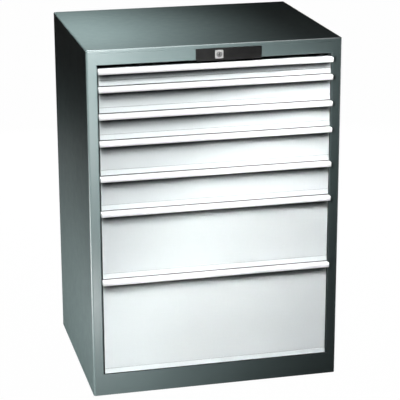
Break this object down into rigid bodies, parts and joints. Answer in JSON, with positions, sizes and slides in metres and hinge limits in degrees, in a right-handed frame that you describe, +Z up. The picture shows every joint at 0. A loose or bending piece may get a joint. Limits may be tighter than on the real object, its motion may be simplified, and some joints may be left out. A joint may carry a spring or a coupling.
{
  "type": "drawer cabinet",
  "caption": "Free-standing steel drawer cabinet with full-width handle strips, full-extension drawers on roller carriages and a central lock.",
  "frame": {"origin": "middle of the housing's base, on the floor", "axes": "+Z up, -Y is the side with the drawers, +X to the right seen from the front"},
  "size_m": [0.717, 0.59, 1],
  "materials": {
    "housing_coat": "dark grey-green powder coat, satin gloss, fine orange peel",
    "drawer_coat": "light grey powder coat, satin gloss",
    "handle_aluminium": "natural anodised extrusion, fine lengthwise grain",
    "label": "clear cover over a plain paper label",
    "zinc_steel": "zinc-plated, slightly mottled",
    "nickel": "satin nickel",
    "black_plastic": "fine moulded grain"
  },
  "bodies": {
    "housing": {"top_panel": "housing_coat", "left_side_panel": "housing_coat", "right_side_panel": "housing_coat", "back_panel": "housing_coat", "back_panel_screws": "zinc_steel", "base_plate": "housing_coat", "bottom_deck": "housing_coat", "front_plinth": "housing_coat", "front_top_rail": "housing_coat", "uprights": "zinc_steel", "cabinet_runners": "zinc_steel", "lock_cover": "black_plastic", "lock_rosette": "nickel", "lock_guides": "black_plastic"},
    "lock_cylinder": {"lock_cylinder": "nickel"},
    "lock_rod": {"lock_rod": "zinc_steel"},
    "lock_bar": {"lock_bar": "zinc_steel", "lock_bar_tabs": "zinc_steel"},
    "drawer_1": {"drawer_1_tray": "drawer_coat", "drawer_1_front": "drawer_coat", "drawer_1_handle": "handle_aluminium", "drawer_1_label_strip": "label", "drawer_1_runners": "zinc_steel"},
    "carriage_1": {"drawer_1_carriages": "zinc_steel"},
    "drawer_2": {"drawer_2_tray": "drawer_coat", "drawer_2_front": "drawer_coat", "drawer_2_handle": "handle_aluminium", "drawer_2_label_strip": "label", "drawer_2_runners": "zinc_steel"},
    "carriage_2": {"drawer_2_carriages": "zinc_steel"},
    "drawer_3": {"drawer_3_tray": "drawer_coat", "drawer_3_front": "drawer_coat", "drawer_3_handle": "handle_aluminium", "drawer_3_label_strip": "label", "drawer_3_runners": "zinc_steel"},
    "carriage_3": {"drawer_3_carriages": "zinc_steel"},
    "drawer_4": {"drawer_4_tray": "drawer_coat", "drawer_4_front": "drawer_coat", "drawer_4_handle": "handle_aluminium", "drawer_4_label_strip": "label", "drawer_4_runners": "zinc_steel"},
    "carriage_4": {"drawer_4_carriages": "zinc_steel"},
    "drawer_5": {"drawer_5_tray": "drawer_coat", "drawer_5_front": "drawer_coat", "drawer_5_handle": "handle_aluminium", "drawer_5_label_strip": "label", "drawer_5_runners": "zinc_steel"},
    "carriage_5": {"drawer_5_carriages": "zinc_steel"},
    "drawer_6": {"drawer_6_tray": "drawer_coat", "drawer_6_front": "drawer_coat", "drawer_6_handle": "handle_aluminium", "drawer_6_label_strip": "label", "drawer_6_runners": "zinc_steel"},
    "carriage_6": {"drawer_6_carriages": "zinc_steel"},
    "drawer_7": {"drawer_7_tray": "drawer_coat", "drawer_7_front": "drawer_coat", "drawer_7_handle": "handle_aluminium", "drawer_7_label_strip": "label", "drawer_7_runners": "zinc_steel"},
    "carriage_7": {"drawer_7_carriages": "zinc_steel"}
  },
  "joints": [
    {"name": "lock_turn", "type": "hinge", "parent": "housing", "child": "lock_cylinder", "pos_m": [0.007, -0.286, 0.972], "axis": [0, 1, 0], "range_deg": [0, 90]},
    {"name": "lock_rod_slide", "type": "slide", "parent": "housing", "child": "lock_rod", "axis": [1, 0, 0], "range_m": [0, 0.01]},
    {"name": "lock_bar_slide", "type": "slide", "parent": "housing", "child": "lock_bar", "axis": [0, 0, 1], "range_m": [0, 0.01]},
    {"name": "drawer_1_slide", "type": "slide", "parent": "housing", "child": "drawer_1", "axis": [0, -1, 0], "range_m": [0, 0.46]},
    {"name": "carriage_1_slide", "type": "slide", "parent": "housing", "child": "carriage_1", "axis": [0, -1, 0], "range_m": [0, 0.23]},
    {"name": "drawer_2_slide", "type": "slide", "parent": "housing", "child": "drawer_2", "axis": [0, -1, 0], "range_m": [0, 0.46]},
    {"name": "carriage_2_slide", "type": "slide", "parent": "housing", "child": "carriage_2", "axis": [0, -1, 0], "range_m": [0, 0.23]},
    {"name": "drawer_3_slide", "type": "slide", "parent": "housing", "child": "drawer_3", "axis": [0, -1, 0], "range_m": [0, 0.46]},
    {"name": "carriage_3_slide", "type": "slide", "parent": "housing", "child": "carriage_3", "axis": [0, -1, 0], "range_m": [0, 0.23]},
    {"name": "drawer_4_slide", "type": "slide", "parent": "housing", "child": "drawer_4", "axis": [0, -1, 0], "range_m": [0, 0.46]},
    {"name": "carriage_4_slide", "type": "slide", "parent": "housing", "child": "carriage_4", "axis": [0, -1, 0], "range_m": [0, 0.23]},
    {"name": "drawer_5_slide", "type": "slide", "parent": "housing", "child": "drawer_5", "axis": [0, -1, 0], "range_m": [0, 0.46]},
    {"name": "carriage_5_slide", "type": "slide", "parent": "housing", "child": "carriage_5", "axis": [0, -1, 0], "range_m": [0, 0.23]},
    {"name": "drawer_6_slide", "type": "slide", "parent": "housing", "child": "drawer_6", "axis": [0, -1, 0], "range_m": [0, 0.46]},
    {"name": "carriage_6_slide", "type": "slide", "parent": "housing", "child": "carriage_6", "axis": [0, -1, 0], "range_m": [0, 0.23]},
    {"name": "drawer_7_slide", "type": "slide", "parent": "housing", "child": "drawer_7", "axis": [0, -1, 0], "range_m": [0, 0.46]},
    {"name": "carriage_7_slide", "type": "slide", "parent": "housing", "child": "carriage_7", "axis": [0, -1, 0], "range_m": [0, 0.23]}
  ],
  "couplings": [
    {"joint": "lock_rod_slide", "follows": "lock_bar_slide", "ratio": 1},
    {"joint": "lock_turn", "follows": "lock_bar_slide", "rad_per_m": 157.08},
    {"joint": "carriage_1_slide", "follows": "drawer_1_slide", "ratio": 0.5},
    {"joint": "carriage_2_slide", "follows": "drawer_2_slide", "ratio": 0.5},
    {"joint": "carriage_3_slide", "follows": "drawer_3_slide", "ratio": 0.5},
    {"joint": "carriage_4_slide", "follows": "drawer_4_slide", "ratio": 0.5},
    {"joint": "carriage_5_slide", "follows": "drawer_5_slide", "ratio": 0.5},
    {"joint": "carriage_6_slide", "follows": "drawer_6_slide", "ratio": 0.5},
    {"joint": "carriage_7_slide", "follows": "drawer_7_slide", "ratio": 0.5}
  ]
}
